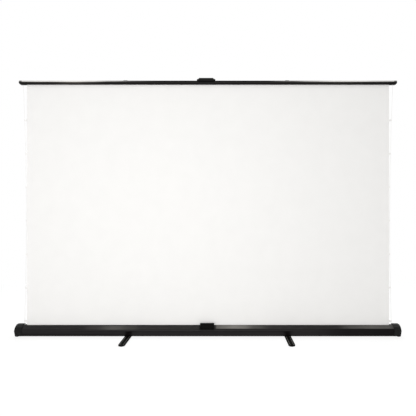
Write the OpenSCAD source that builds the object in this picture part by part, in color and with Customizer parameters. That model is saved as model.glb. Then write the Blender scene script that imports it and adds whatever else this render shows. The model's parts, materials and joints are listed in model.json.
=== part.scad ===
// Pull-up projection screen: a floor case with a spring roller, a white cloth held by a top bar,
// and a two-stage crossed-arm lift behind the cloth. Millimetres, +Z up, -Y to the viewer.
// The origin is on the floor, half way along the case, between the pivots of the two feet.

/* [Overall] */
// Length of the case over its end caps
case_len = 2374; // [2350:2:2600]
// How much shorter the top bar is than the case
bar_short = 40; // [36:1:44]
// Distance from each end of the case to the cloth's edge
cloth_side = 65.5; // [65.5:0.5:80]
// Height of the top bar's underside with the screen raised
raised_z = 1560.5; // [1300:0.5:1700]
// Thickness of the projection cloth
cloth_t = 0.4; // [0.3:0.05:0.6]

/* [Case] */
// Height of the case's bottom face above the floor
case_base_z = 10; // [9.5:0.5:14]
// Height of the case's front lip at the cloth slot
case_top_z = 74.5; // [73:0.5:76]
// Rear face of the case
case_rear_y = 38; // [37:0.5:40]
// Wall of the case extrusion
case_wall = 1.8; // [1.4:0.1:2.2]
// Front edge of the cloth slot
slot_front_y = 0; // [-0.5:0.1:0.5]
// Rear edge of the cloth slot
slot_rear_y = 9; // [8.6:0.1:9.4]
// Front face of the wall between the roller and the arm channel
divider_y = 10.5; // [10.2:0.1:11]
// Inward reach of the two rails that keep the slider down
rail_reach = 1.8; // [1:0.1:2.2]
// Height of the rails above the channel floor
rail_rise = 13.5; // [13:0.5:15]

/* [End caps] */
// Height of the end caps' top face, where the top bar rests
cap_top_z = 78; // [77.5:0.5:82]
// Height of the end caps' lowest edge
cap_base_z = 6.5; // [5:0.5:9]
// Thickness of the end caps' outer plate
cap_plate_t = 20; // [16:1:24]
// Length of the sleeve that grips the case
cap_sleeve = 24; // [18:1:24]
// How far the cap stands behind the case
cap_rear_over = 2; // [1.5:0.5:3]

/* [Roller] */
// Height of the roller axis
roller_z = 36; // [35:0.5:37]
// Outer radius of the roller tube
tube_r = 11; // [10:0.2:11.4]
// Wall of the roller tube
tube_wall = 1; // [0.8:0.1:1.5]
// Outer radius of the cloth left on the roller, screen raised
roll_r = 12.5; // [11.8:0.1:12.8]
// Radius of the roller's stub pin
roller_pin_r = 5; // [4:0.2:6]
// Radius of the cord spool flanges
spool_flange_r = 15; // [14:0.5:17]

/* [Lift arms] */
// Middle of the lift, the handle and the covers, measured from the middle of the case
lift_x = -11; // [-14:1:14]
// Half the distance between the end pivots, screen raised
pivot_x = 503; // [420:1:520]
// Height of the lower pivots
low_pivot_z = 40; // [39:0.5:40.5]
// Height of the upper pivots above the bar's underside
bar_pivot_rise = 9.2; // [9:0.1:9.6]
// Width of the flat arms
arm_h = 19; // [15:0.5:19.5]
// Thickness of the flat arms
arm_t = 4; // [3:0.1:4.2]
// Gap between the two layers of arms
arm_gap = 1.5; // [1:0.1:1.8]
// Radius of the pivot pins
pin_r = 4; // [3:0.1:5]
// Radius of the pins' heads
pin_head_r = 6.5; // [5.6:0.1:7]
// Thickness of the pins' heads
pin_head_t = 1.8; // [1.2:0.1:2]
// Thickness of the bracket cheeks
cheek_t = 2.5; // [2:0.1:2.7]

/* [Top bar] */
// Height of the top bar
bar_h = 24; // [22:0.5:26]
// Front face of the top bar
bar_front_y = -10; // [-12:0.5:-9]
// Rear face of the top bar
bar_rear_y = 36.5; // [36.5:0.5:39]
// Wall of the top bar
bar_wall = 1.8; // [1.5:0.1:1.9]
// Height of the rear wall's lower edge above the bar's underside
bar_rear_rise = 10; // [0:0.5:12]
// Length of the bar's end caps
bar_cap_len = 18; // [12:1:18]
// Width of the cloth slot under the bar
bar_slot_w = 3.4; // [3:0.1:4]
// Radius of the rod in the cloth's top hem
spline_r = 3.2; // [2.6:0.1:4]

/* [Handle] */
// Width of the handle at its shoulders
handle_w = 114; // [106:1:130]
// Width of the handle at its top
handle_top_w = 88; // [76:1:96]
// Height of the handle above the bar
handle_rise = 15.5; // [14:0.5:28]
// Wall of the handle's hood
handle_wall = 3; // [2.5:0.1:4]
// Thickness of the apron over the bar's front face
apron_t = 2.5; // [2:0.1:3]
// Height of the keeper ledge at the apron's foot
ledge_h = 3.2; // [2.5:0.1:4]

/* [Latch] */
// Middle of the latch, measured from the middle of the case
latch_x = -5; // [-14:1:14]
// Width of the press catch
catch_w = 86; // [70:1:90]
// Thickness of the press catch
catch_t = 2.5; // [2:0.1:3]
// Radius of the latch pin
latch_pin_r = 1.5; // [1.2:0.1:1.8]
// Thickness of the ears beside the catch
ear_t = 5.5; // [4:0.5:8]

/* [Feet] */
// Distance of the foot pivots from the middle
foot_x = 492; // [400:1:600]
// Length of a foot
foot_len = 490; // [420:5:560]
// Width of a foot
foot_w = 38; // [34:1:50]
// Height of a foot's top face
foot_top_z = 9.5; // [9:0.5:12]
// Thickness of a rubber pad below its foot
pad_t = 2; // [1.5:0.5:3]
// Radius of the foot bolts
foot_bolt_r = 4; // [3:0.5:5]

/* [Edge tension] */
// Number of tabs on each side
tab_count = 7; // [5:1:9]
// Height of the lowest tab
tab_low_z = 97.4; // [90:0.1:110]
// Distance between tabs
tab_pitch = 207.2; // [150:0.1:210]
// Radius of the tension cord
cord_r = 1; // [0.8:0.1:1.2]
// Distance of the cord from the cloth's edge at the middle tab
cord_near = 4; // [4:0.5:8]
// Extra distance of the cord at the top bar
cord_top_out = 18.5; // [12:0.5:18.5]
// Extra distance of the cord at the case
cord_low_out = 11.5; // [6:0.5:12]
// Width of the edge strip on the cloth's back
strip_w = 18; // [12:1:24]

/* [Hidden] */

$fn = 48;
// Radial clearance of a pin in its hole
run_gap = 0.05;
// Gap between a guided piece and its guide
slide_gap = 0.3;
// Height of the bar above the caps when the screen is down
rest_gap = 0.3;
// Cut-outs run this far past the faces that they open
past = 1;

// Colours of the finishes
black_metal = [0.17, 0.16, 0.16];
black_plastic = [0.11, 0.11, 0.11];
steel = [0.62, 0.63, 0.65];
cloth_white = [0.96, 0.955, 0.945];
rubber_black = [0.07, 0.07, 0.07];

// Case outline
case_half = case_len / 2;
plate_x = case_half - cap_plate_t;
sleeve_x = plate_x - cap_sleeve;
floor_z = case_base_z + case_wall;
rear_wall_z = case_top_z - 2.5;
channel_y = divider_y + case_wall;
channel_rear_y = case_rear_y - case_wall;
channel_mid_y = (channel_y + channel_rear_y) / 2;
divider_top_z = case_top_z - 3.5;
rear_ledge_y = channel_rear_y - 1;
break_pt = [-28, case_top_z - 19.5];
bulge_pt = [-35, case_top_z - 29];
toe_pt = [-24.5, case_base_z];

// Outer corners of the case section in Y and Z, each with its radius
case_corners = [
    [slot_front_y, case_top_z, 0.8],
    [break_pt.x, break_pt.y, 3],
    [bulge_pt.x, bulge_pt.y, 6],
    [toe_pt.x, toe_pt.y, 2],
    [case_rear_y, case_base_z, 3],
    [case_rear_y, rear_wall_z, 0.8],
    [rear_ledge_y, rear_wall_z, 0],
    [rear_ledge_y, case_top_z, 0]];

// Corners of the roller's room, one wall inside the case section
chamber_corners = [
    [slot_front_y, case_top_z + past],
    [slot_front_y, case_top_z - case_wall * 1.22],
    [break_pt.x + case_wall * 0.45, break_pt.y - case_wall * 0.9],
    [bulge_pt.x + case_wall * 1.05, bulge_pt.y - case_wall * 0.15],
    [toe_pt.x + case_wall * 0.6, floor_z],
    [divider_y, floor_z],
    [divider_y, divider_top_z],
    [slot_rear_y, case_top_z - case_wall],
    [slot_rear_y, case_top_z + past]];

// Screw ports inside the case, and the end cap screws that they take
port_r = 3;
port_hole_r = 1.6;
ports = [
    [divider_y - 2, floor_z + 2],
    [slot_front_y - 4.6, case_top_z - 8.1],
    [channel_rear_y - 1.2, rear_wall_z - 6]];
cap_screw_len = 25;
cap_screw_r = port_hole_r - 0.1;
cap_screw_head = [3.4, 2.4];
cap_screw_seat = [4, 5];

// Outer corners of the case's end cap in Y and Z, each with its radius
cap_rear_y = case_rear_y + cap_rear_over;
cap_corners = [
    [cap_rear_y, cap_top_z, 5],
    [4, cap_top_z, 14],
    [-25, cap_top_z - 13, 16],
    [-40.5, cap_top_z - 34, 5],
    [-24, cap_base_z, 4],
    [cap_rear_y, cap_base_z, 5]];

// Steps of the cap's domed outer face: distance from its end, and how far it is drawn in
cap_dome = [[8, 0], [2.8, 1], [0.5, 4]];
cap_dome_mid = [0, 44];
cap_dome_reach = 36;
dome_slice_t = 0.5;

// Cloth and roller
cloth_w = case_len - 2 * cloth_side;
roller_y = -9;
cloth_front_y = roller_y + roll_r + slide_gap;
cloth_back_y = cloth_front_y + cloth_t;
cord_y = cloth_front_y + cloth_t / 2;
tube_half = cloth_w / 2 + 4;
spool_w = 14;
spool_x = tube_half + 0.5;
spool_core_r = cord_y - cord_r - slide_gap - roller_y;
cord_low_x = spool_x + spool_w / 2;
spool_flange_t = 1.5;
roller_pin_reach = 4;
roller_boss_r = roller_pin_r + 4;
roller_boss_len = cap_sleeve - 6;
plug_r = tube_r - tube_wall;
plug_len = 30;
plug_flange_x = spool_x + spool_w;
plug_inner_x = tube_half - plug_len;
arbor_r = 4;
spring_len = 260;
spring_wire = 2;
spring_gap = 0.3;

// Lift geometry, worked out from the raised and the closed height
closed_z = cap_top_z + rest_gap;
up_pivot_z = raised_z + bar_pivot_rise;
stage_rise = (up_pivot_z - low_pivot_z) / 2;
mid_pivot_z = low_pivot_z + stage_rise;
arm_len = sqrt(stage_rise * stage_rise + 4 * pivot_x * pivot_x);
arm_angle = atan2(stage_rise, 2 * pivot_x);
layer_a_y = channel_mid_y - arm_gap / 2 - arm_t;
layer_b_y = channel_mid_y + arm_gap / 2;
arm_eye_r = arm_h / 2;
groove_w = arm_h * 0.36;
groove_d = 0.8;
groove_b_y = layer_b_y + arm_t - groove_d;

// Forks that carry the arms' ends
fork_gap = 0.5;
pin_end_gap = 0.1;
cheek_r = 9;
fork_half = 22;
bracket_floor_t = 3;
slider_half = 30;
slider_r = 2;
fork_low = -7.4;
fork_front = 14;
fork_back = 28;
hole_r = pin_r + run_gap;
elbow_play = 0.15;
stop_len = 20;
stop_drop = 4;

// Top bar
bar_half = (case_len - bar_short) / 2;
bar_seam_x = bar_half - bar_cap_len;
bar_top_z = raised_z + bar_h;
bar_roof_z = bar_top_z - bar_wall;
bar_div_y = channel_y - 0.8;
bar_chan_y = bar_div_y + bar_wall;
bar_chan_rear_y = bar_rear_y - bar_wall;
bar_floor_t = 2;
bar_lip = 1.6;
bar_lip_t = 1.2;
bar_plug_len = 14;
bar_cap_cut = 8;
bar_cap_chamfer = 3;
crimp_r = 3;
crimp_len = 6;
spline_gap = 0.1;
spline_z = raised_z + bar_floor_t + spline_r + spline_gap;
cloth_top_z = spline_z - spline_r - spline_gap;
cord_top_x = cloth_w / 2 + cord_near + cord_top_out;

// Outer corners of the bar section in Y, and in Z above the bar's underside, each with its radius
bar_corners = [
    [bar_front_y, 0, 1],
    [bar_chan_y + bar_lip, 0, 0],
    [bar_rear_y, bar_rear_rise, 1],
    [bar_rear_y, bar_h, 2.5],
    [bar_front_y, bar_h, 3.5]];

// Edge tabs and the tension cord
tab_half_h = 9;
tab_sleeve_h = 10;
tab_strap_t = 0.8;
tab_sleeve_r = cord_r + 1.5;
tab_hole_r = cord_r + 0.5;
tab_root_x = cloth_w / 2 - strip_w - 6;
tab_mid_z = tab_low_z + tab_pitch * (tab_count - 1) / 2;
cord_bend = 6;
cord_sides = 8;

// Covers on the bar, and the screws of the covers and of the handle
cover_w = 26;
cover_t = 6.5;
cover_y = [bar_chan_y + 1, bar_chan_rear_y - 1];
cover_slope = 1.5;
small_screw_x = 8;
small_screw_r = 2;
small_head_r = [3.6, 2.6];
small_head_t = 2.2;

// Handle and latch
apron_y = bar_front_y - apron_t;
ledge_y = apron_y - 3;
groove_half = 5;
groove_depth = 1.2;
shoulder_rise = handle_rise - 6.5;
shoulder_in = 1;
hood_rear_y = 24;
hood_corner_r = 5;
shoulder_run = 4;
handle_screw_x = handle_top_w / 2 + shoulder_run + small_head_r.x + slide_gap;
handle_screw_y = hood_rear_y - 10;
latch_pivot = [-22, case_top_z - 8.3];
latch_hook_z = closed_z + ledge_h + slide_gap;
latch_boss_r = 3.5;
catch_gap = 0.4;
ear_x = catch_w / 2 + catch_gap;
latch_pin_end = 1;
latch_spring_w = 12;
latch_spring_t = 1.5;

// Outer corners of an ear of the latch in Y and Z, each with its radius
ear_corners = [
    [-5, case_top_z - 8, 0],
    [-5, case_top_z - 1, 1],
    [-14, case_top_z + 3, 3],
    [-20, case_top_z + 1, 3],
    [-35, case_top_z - 14, 3],
    [-36, case_top_z - 24, 2],
    [-33, case_top_z - 30, 0]];

// Corners of the plate that lies on the case's sloping front behind the catch
plate_drop = (case_top_z - break_pt.y) / (slot_front_y - break_pt.x);
latch_plate_t = 1.8;
latch_plate_corners = [
    [-4, case_top_z - 4 * plate_drop - 3],
    [-4, case_top_z - 4 * plate_drop + latch_plate_t],
    [break_pt.x, break_pt.y + latch_plate_t],
    [-35, case_top_z - 27.5],
    [-30, case_top_z - 27.5]];

// Corners of the press catch in Y and Z, from its hook down to its thumb edge
catch_back_y = ledge_y - 1;
catch_front_y = catch_back_y - catch_t;
catch_top_z = latch_hook_z + 8;
catch_corners = [
    [catch_front_y, catch_top_z - 1],
    [catch_front_y, case_top_z + 1.6],
    [-34, case_top_z - 11.6],
    [-34.2, case_top_z - 12.8],
    [-32.5, case_top_z - 14.6],
    [catch_back_y - 1, case_top_z - 1],
    [catch_back_y, case_top_z + 1],
    [catch_back_y, latch_hook_z],
    [ledge_y + 2.4, latch_hook_z],
    [ledge_y + 2.4, catch_top_z - 2],
    [ledge_y + 1.2, catch_top_z],
    [catch_front_y + 1, catch_top_z]];

// Feet
pad_seat = 1.5;
pad_r = foot_w / 2 - 5;
foot_reach = (foot_len - foot_w) / 2;
washer_t = case_base_z - foot_top_z;
washer_r = foot_bolt_r + 10;
nut_plate_t = 2.4;
nut_plate_half = 18;
nut_plate_y = [-5, 5];
bolt_head_r = foot_bolt_r * 2;
bolt_head_z = pad_t + 0.6;
bolt_head_t = 3.6;
head_room = 0.5;
ring_stop = 16;
ring_w = 3;
ring_inset = 7;
ring_d = 1.2;

// Point lists in the plane of a section, with arcs at the corners
function unit(v) = v / norm(v);
function corner_arc(a, b, c, r, steps) = r == 0 ? [b] :
    let (u = unit(a - b), v = unit(c - b), half = acos(u * v) / 2,
        centre = b + unit(u + v) * r / sin(half),
        first = b + u * r / tan(half) - centre, last = b + v * r / tan(half) - centre,
        a0 = atan2(first.y, first.x), a1 = atan2(last.y, last.x),
        sweep = (a1 - a0 + 540) % 360 - 180)
    [for (i = [0 : steps]) centre + r * [cos(a0 + sweep * i / steps), sin(a0 + sweep * i / steps)]];
function rounded(corners, steps = 5) = let (n = len(corners))
    [for (i = [0 : n - 1]) let (a = corners[(i + n - 1) % n], b = corners[i], c = corners[(i + 1) % n])
        each corner_arc([a.x, a.y], [b.x, b.y], [c.x, c.y], b.z, steps)];

// Extrudes a section drawn in Y and Z from one X to another
module along_x(from, to) {
    translate([from, 0, 0]) rotate([90, 0, 90]) linear_extrude(to - from) children();
}

// Extrudes a shape drawn in X and Z from one Y to another
module along_y(from, to) {
    translate([0, to, 0]) rotate([90, 0, 0]) linear_extrude(to - from) children();
}

module rod_x(from, to, r) {
    translate([from, 0, 0]) rotate([0, 90, 0]) cylinder(r = r, h = to - from);
}

module rod_y(from, to, r) {
    translate([0, to, 0]) rotate([90, 0, 0]) cylinder(r = r, h = to - from);
}

module mirrored_x() {
    mirror([1, 0, 0]) children();
}

module both_sides() {
    children();
    mirrored_x() children();
}

// Case section: the outline less the roller's room and the arm channel
module arm_channel() {
    difference() {
        translate([channel_y, floor_z])
            square([channel_rear_y - channel_y, case_top_z + past - floor_z]);
        for (y = [channel_y - past, channel_rear_y - rail_reach])
            translate([y, floor_z + rail_rise]) square([rail_reach + past, case_wall]);
    }
}

module case_section() {
    difference() {
        union() {
            difference() {
                polygon(rounded(case_corners));
                polygon(chamber_corners);
                arm_channel();
            }
            intersection() {
                polygon(rounded(case_corners));
                for (p = ports) translate(p) circle(r = port_r);
            }
        }
        for (p = ports) translate(p) circle(r = port_hole_r);
    }
}

module case_profile() {
    color(black_metal) difference() {
        along_x(-plate_x, plate_x) case_section();
        for (x = [-foot_x, foot_x])
            translate([x, 0, case_base_z - past])
                cylinder(r = foot_bolt_r + run_gap, h = case_wall + 2 * past);
    }
}

module cap_outline() {
    polygon(rounded(cap_corners));
}

// One slice of the cap's domed outer face, drawn in towards the middle of the outline
module cap_slice(step) {
    share = 1 - step.y / cap_dome_reach;
    along_x(case_half - step.x, case_half - step.x + dome_slice_t)
        translate(cap_dome_mid) scale([share, share]) translate(-cap_dome_mid) cap_outline();
}

// Sleeve round the case, open below the case, and open to the slot and the arm channel
module cap_sleeve_section() {
    lip_depth = 4;
    toe_notch = 10;
    difference() {
        cap_outline();
        polygon(rounded(case_corners));
        translate([slot_front_y, case_top_z - lip_depth])
            square([channel_rear_y - slot_front_y, lip_depth]);
        translate([cap_corners[3].x, cap_base_z - past])
            square([cap_rear_y - cap_corners[3].x + past, case_base_z - cap_base_z + past]);
        translate([toe_pt.x - toe_notch, case_base_z - past]) square([toe_notch, 2 * past]);
    }
}

module case_end_cap() {
    well = roller_pin_reach + 2;
    difference() {
        union() {
            along_x(plate_x, case_half - cap_dome[0].x) cap_outline();
            hull() for (step = cap_dome) cap_slice(step);
            along_x(sleeve_x, plate_x) cap_sleeve_section();
            on_roller_axis() rod_x(plate_x - roller_boss_len, plate_x, roller_boss_r);
        }
        on_roller_axis() rod_x(sleeve_x, plate_x + well, roller_pin_r + run_gap);
        for (p = ports) translate([0, p.x, p.y]) {
            rod_x(plate_x - past, case_half + past, cap_screw_r + slide_gap);
            rod_x(case_half - cap_screw_seat.y, case_half + past, cap_screw_seat.x);
        }
    }
}

module case_end_cap_right() { color(black_plastic) case_end_cap(); }

module case_end_cap_left() { color(black_plastic) mirrored_x() case_end_cap(); }

module end_cap_screws() {
    seat_x = case_half - cap_screw_seat.y;
    color(steel) both_sides() for (p = ports) translate([0, p.x, p.y]) {
        rod_x(seat_x - cap_screw_len, seat_x, cap_screw_r);
        rod_x(seat_x, seat_x + cap_screw_head.y, cap_screw_head.x);
    }
}

// Roller
module on_roller_axis() {
    translate([0, roller_y, roller_z]) children();
}

module roller_tube() {
    color(steel) on_roller_axis() difference() {
        rod_x(-tube_half, tube_half, tube_r);
        rod_x(-tube_half - past, tube_half + past, tube_r - tube_wall);
    }
}

module roller_plug_right() {
    color(black_plastic) on_roller_axis() {
        rod_x(plug_inner_x, plug_flange_x, plug_r - run_gap);
        rod_x(plug_flange_x, plate_x + roller_pin_reach, roller_pin_r);
    }
}

module roller_plug_left() {
    color(black_plastic) mirrored_x() on_roller_axis() difference() {
        rod_x(plug_inner_x, plug_flange_x, plug_r - run_gap);
        rod_x(plug_inner_x - past, plug_flange_x + past, arbor_r + run_gap);
    }
}

// Fixed rod inside the roller, held by the left end cap
module spring_arbor() {
    step_x = plug_flange_x + 1;
    tail_len = 20;
    color(steel) mirrored_x() on_roller_axis() {
        rod_x(plug_inner_x - spring_len - tail_len, step_x, arbor_r);
        rod_x(step_x, plate_x + roller_pin_reach, roller_pin_r);
    }
}

// Torsion spring wound close on its arbor
module roller_spring() {
    spring_end = plug_inner_x - spring_gap;
    bore_r = arbor_r + spring_gap;
    color(steel) mirrored_x() on_roller_axis() difference() {
        rod_x(spring_end - spring_len, spring_end, bore_r + spring_wire);
        rod_x(spring_end - spring_len - past, spring_end + past, bore_r);
    }
}

// Flanged spools that wind the tension cords
module cord_spools() {
    color(black_plastic) both_sides() on_roller_axis() difference() {
        union() {
            rod_x(spool_x, plug_flange_x, spool_core_r);
            rod_x(spool_x, spool_x + spool_flange_t, spool_flange_r);
            rod_x(plug_flange_x - spool_flange_t, plug_flange_x, spool_flange_r);
        }
        rod_x(spool_x - past, plug_flange_x + past, plug_r);
    }
}

module cloth_roll() {
    color(cloth_white) on_roller_axis() difference() {
        rod_x(-cloth_w / 2, cloth_w / 2, roll_r);
        rod_x(-cloth_w / 2 - past, cloth_w / 2 + past, tube_r + run_gap);
    }
}

// Cloth and its edge tension
module screen_cloth() {
    color(cloth_white) translate([-cloth_w / 2, cloth_front_y, roller_z])
        cube([cloth_w, cloth_t, cloth_top_z - roller_z]);
}

module edge_strips() {
    color(cloth_white) both_sides() translate([cloth_w / 2 - strip_w, cloth_back_y, roller_z])
        cube([strip_w, cloth_t, cloth_top_z - roller_z]);
}

function tab_z(i) = tab_low_z + tab_pitch * i;

// Distance of the cord from the middle of the screen at a height
function cord_x(z) = cloth_w / 2 + cord_near + (z > tab_mid_z
    ? cord_top_out * pow((z - tab_mid_z) / (cloth_top_z - tab_mid_z), 2)
    : cord_low_out * pow((tab_mid_z - z) / (tab_mid_z - roller_z), 2));

// The cord runs straight from tab to tab and bends a little at each
cord_route = concat(
    [[cord_low_x, roller_z], [cord_low_x, case_top_z + 4]],
    [for (i = [0 : tab_count - 1]) for (s = [-1, 1]) [cord_x(tab_z(i)), tab_z(i) + s * cord_bend]],
    [[cord_top_x, raised_z - 3], [cord_top_x, raised_z + bar_floor_t]]);

module tension_cord() {
    rings = len(cord_route);
    points = [for (p = cord_route) for (k = [0 : cord_sides - 1])
        [p.x + cord_r * cos(360 * k / cord_sides), cord_y + cord_r * sin(360 * k / cord_sides), p.y]];
    walls = [for (i = [0 : rings - 2]) for (k = [0 : cord_sides - 1]) each let (
        a = i * cord_sides + k, b = i * cord_sides + (k + 1) % cord_sides)
        [[a, a + cord_sides, b + cord_sides], [a, b + cord_sides, b]]];
    bottom = [for (k = [1 : cord_sides - 2]) [0, k, k + 1]];
    first_top = (rings - 1) * cord_sides;
    top = [for (k = [1 : cord_sides - 2]) [first_top, first_top + k + 1, first_top + k]];
    polyhedron(points = points, faces = concat(walls, bottom, top), convexity = 4);
}

module tension_cord_right() { color(cloth_white) tension_cord(); }

module tension_cord_left() { color(cloth_white) mirrored_x() tension_cord(); }

// One tab: a strap on the back of the edge strip, and a sleeve that the cord runs through
module edge_tab(z) {
    strap_y = cloth_back_y + cloth_t;
    x = cord_x(z);
    difference() {
        union() {
            translate([tab_root_x, strap_y, z - tab_half_h])
                cube([x - tab_root_x, tab_strap_t, 2 * tab_half_h]);
            translate([x, cord_y, z - tab_sleeve_h / 2]) cylinder(r = tab_sleeve_r, h = tab_sleeve_h);
        }
        translate([x, cord_y, z - tab_half_h - past]) cylinder(r = tab_hole_r, h = 2 * (tab_half_h + past));
        translate([tab_root_x - past, strap_y - 2 * tab_sleeve_r, z - tab_half_h - past])
            cube([cloth_w / 2 - tab_root_x + 1.2 * past, 2 * tab_sleeve_r, 2 * (tab_half_h + past)]);
    }
}

module edge_tabs() {
    for (i = [0 : tab_count - 1]) edge_tab(tab_z(i));
}

module edge_tabs_right() { color(cloth_white) edge_tabs(); }

module edge_tabs_left() { color(cloth_white) mirrored_x() edge_tabs(); }

// Places for what stands off the middle
module at_lift(side = 0) {
    translate([lift_x + side * pivot_x, 0, 0]) children();
}

module at_latch() {
    translate([latch_x, latch_pivot.x, latch_pivot.y]) children();
}

// Top bar
module bar_outline() {
    polygon(rounded(bar_corners));
}

module bar_section() {
    difference() {
        bar_outline();
        translate([bar_front_y + bar_wall, bar_floor_t])
            square([bar_div_y - bar_front_y - bar_wall, bar_h - bar_wall - bar_floor_t]);
        translate([cord_y - bar_slot_w / 2, -past]) square([bar_slot_w, bar_floor_t + 2 * past]);
        translate([bar_chan_y, bar_lip_t])
            square([bar_chan_rear_y - bar_chan_y, bar_h - bar_wall - bar_lip_t]);
        translate([bar_chan_y + bar_lip, -past])
            square([bar_chan_rear_y - bar_chan_y - bar_lip, bar_lip_t + 2 * past]);
    }
}

module at_bar() {
    translate([0, 0, raised_z]) children();
}

module top_bar() {
    color(black_metal) at_bar() along_x(-bar_seam_x, bar_seam_x) bar_section();
}

// End cap of the bar, with its lower outer corner cut back
module bar_end_cap() {
    plug_gap = 0.2;
    plug_y = bar_front_y + bar_wall + plug_gap;
    plug_x = bar_seam_x - bar_plug_len;
    intersection() {
        union() {
            along_x(bar_seam_x, bar_half) bar_outline();
            along_x(plug_x, bar_seam_x) translate([plug_y, bar_floor_t + plug_gap])
                square([cord_y - bar_slot_w - plug_y, bar_h - bar_wall - bar_floor_t - 2 * plug_gap]);
        }
        along_y(bar_front_y - past, bar_rear_y + past) polygon([
            [plug_x - past, -past],
            [bar_half - bar_cap_cut, -past],
            [bar_half - bar_cap_cut, 0],
            [bar_half, bar_cap_cut],
            [bar_half, bar_h - bar_cap_chamfer],
            [bar_half - bar_cap_chamfer, bar_h],
            [bar_half - bar_cap_chamfer, bar_h + past],
            [plug_x - past, bar_h + past]]);
    }
}

module bar_end_cap_right() { color(black_plastic) at_bar() bar_end_cap(); }

module bar_end_cap_left() { color(black_plastic) mirrored_x() at_bar() bar_end_cap(); }

module cloth_spline() {
    color(cloth_white) translate([0, cord_y, spline_z]) rod_x(-cloth_w / 2, cloth_w / 2, spline_r);
}

// Crimps on the cord ends, held above the bar's slot
module cord_crimps() {
    color(steel) both_sides() translate([cord_top_x, cord_y, raised_z + bar_floor_t])
        cylinder(r = crimp_r, h = crimp_len);
}

// Covers on top of the bar over the arm bracket and over the slider's stop
module bracket_covers() {
    color(black_plastic) for (side = [-1, 1]) at_lift(side) translate([0, 0, bar_top_z]) difference() {
        along_y(cover_y.x, cover_y.y) polygon(rounded([
            [-cover_w / 2, 0, 0],
            [cover_w / 2, 0, 0],
            [cover_w / 2 - cover_slope, cover_t, cover_slope],
            [cover_slope - cover_w / 2, cover_t, cover_slope]]));
        for (s = [-1, 1]) translate([s * small_screw_x, channel_mid_y, -past])
            cylinder(r = small_screw_r + run_gap, h = cover_t + 2 * past);
    }
}

// A small screw with a domed head, standing on the face that it enters
module small_screw(grip) {
    cylinder(r = small_screw_r, h = grip);
    translate([0, 0, grip]) cylinder(r1 = small_head_r.x, r2 = small_head_r.y, h = small_head_t);
}

module cover_screws() {
    color(steel) for (side = [-1, 1]) at_lift(side) for (s = [-1, 1])
        translate([s * small_screw_x, channel_mid_y, bar_top_z]) small_screw(cover_t);
}

// Handle, seen from the front: shoulders at its sides and a flat top
module handle_front() {
    shoulder = bar_h + shoulder_rise;
    rise = bar_h + handle_rise;
    half_base = handle_w / 2;
    half_top = handle_top_w / 2;
    polygon(rounded([
        [-half_base, bar_h, 0],
        [half_base, bar_h, 0],
        [half_base - shoulder_in, shoulder, 3],
        [half_top + shoulder_run, shoulder, 0],
        [half_top, rise, hood_corner_r],
        [-half_top, rise, hood_corner_r],
        [-half_top - shoulder_run, shoulder, 0],
        [shoulder_in - half_base, shoulder, 3]]));
}

// Apron over the bar's front face, wider at its foot
module handle_apron() {
    half_head = handle_top_w / 2 + 1;
    half_foot = half_head + 5;
    polygon([
        [-half_foot, 0],
        [half_foot, 0],
        [half_head, bar_h + past],
        [-half_head, bar_h + past]]);
}

// Handle: a hood that fingers reach under from behind, an apron, and a keeper ledge for the catch
module handle() {
    rise = bar_h + handle_rise;
    hollow_half = handle_top_w / 2 - handle_wall;
    ledge_half = catch_w / 2 - 6;
    color(black_plastic) at_lift() at_bar() difference() {
        union() {
            along_y(apron_y, hood_rear_y) handle_front();
            along_y(apron_y, bar_front_y) handle_apron();
            along_x(-ledge_half, ledge_half) polygon([
                [apron_y, 0], [ledge_y, 0.8], [ledge_y, ledge_h], [apron_y, ledge_h]]);
        }
        along_x(-hollow_half, hollow_half) polygon(rounded([
            [apron_y + handle_wall, bar_h - past, 0],
            [hood_rear_y + past, bar_h - past, 0],
            [hood_rear_y + past, rise - handle_wall, 0],
            [apron_y + handle_wall, rise - handle_wall, 4]]));
        along_x(-hollow_half, hollow_half) polygon([
            [apron_y - past, bar_h - groove_half],
            [apron_y + groove_depth, bar_h - groove_half + groove_depth],
            [apron_y + groove_depth, bar_h + groove_half - groove_depth],
            [apron_y - past, bar_h + groove_half]]);
        for (s = [-1, 1]) translate([s * handle_screw_x, handle_screw_y, bar_h - past])
            cylinder(r = small_screw_r + run_gap, h = shoulder_rise + 2 * past);
    }
}

module handle_screws() {
    color(steel) at_lift() for (s = [-1, 1])
        translate([s * handle_screw_x, handle_screw_y, bar_top_z]) small_screw(shoulder_rise);
}

// Pivot pins with a head at each end and, between two arms, a spacer
module pin_along_y(from, to) {
    rod_y(from, to, pin_r);
    rod_y(from - pin_head_t, from, pin_head_r);
    rod_y(to, to + pin_head_t, pin_head_r);
}

module joint_pin() {
    spacer_r = pin_head_r + 1;
    from = layer_a_y - pin_end_gap;
    to = layer_b_y + arm_t + pin_end_gap;
    pin_along_y(from, to);
    difference() {
        rod_y(layer_a_y + arm_t + pin_end_gap, layer_b_y - pin_end_gap, spacer_r);
        rod_y(from, to, hole_r);
    }
}

// A pair of cheeks either side of a layer of arms; the pin crosses them
function fork_from(layer_y) = layer_y - fork_gap - cheek_t;
function fork_to(layer_y) = layer_y + arm_t + fork_gap + cheek_t;

module fork_pin(layer_y) {
    pin_along_y(fork_from(layer_y) - pin_end_gap, fork_to(layer_y) + pin_end_gap);
}

module fork_cheeks(layer_y) {
    difference() {
        along_y(fork_from(layer_y), fork_to(layer_y)) children();
        translate([-arm_len, layer_y - fork_gap, -arm_len])
            cube([2 * arm_len, arm_t + 2 * fork_gap, 2 * arm_len]);
    }
}

// Lower fork on a base: the cheeks' outline about the pin
module lower_fork_outline(base) {
    difference() {
        union() {
            circle(r = cheek_r);
            polygon([[-cheek_r, 0], [cheek_r, 0], [fork_half, base], [-fork_half, base]]);
        }
        circle(r = hole_r);
    }
}

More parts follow.
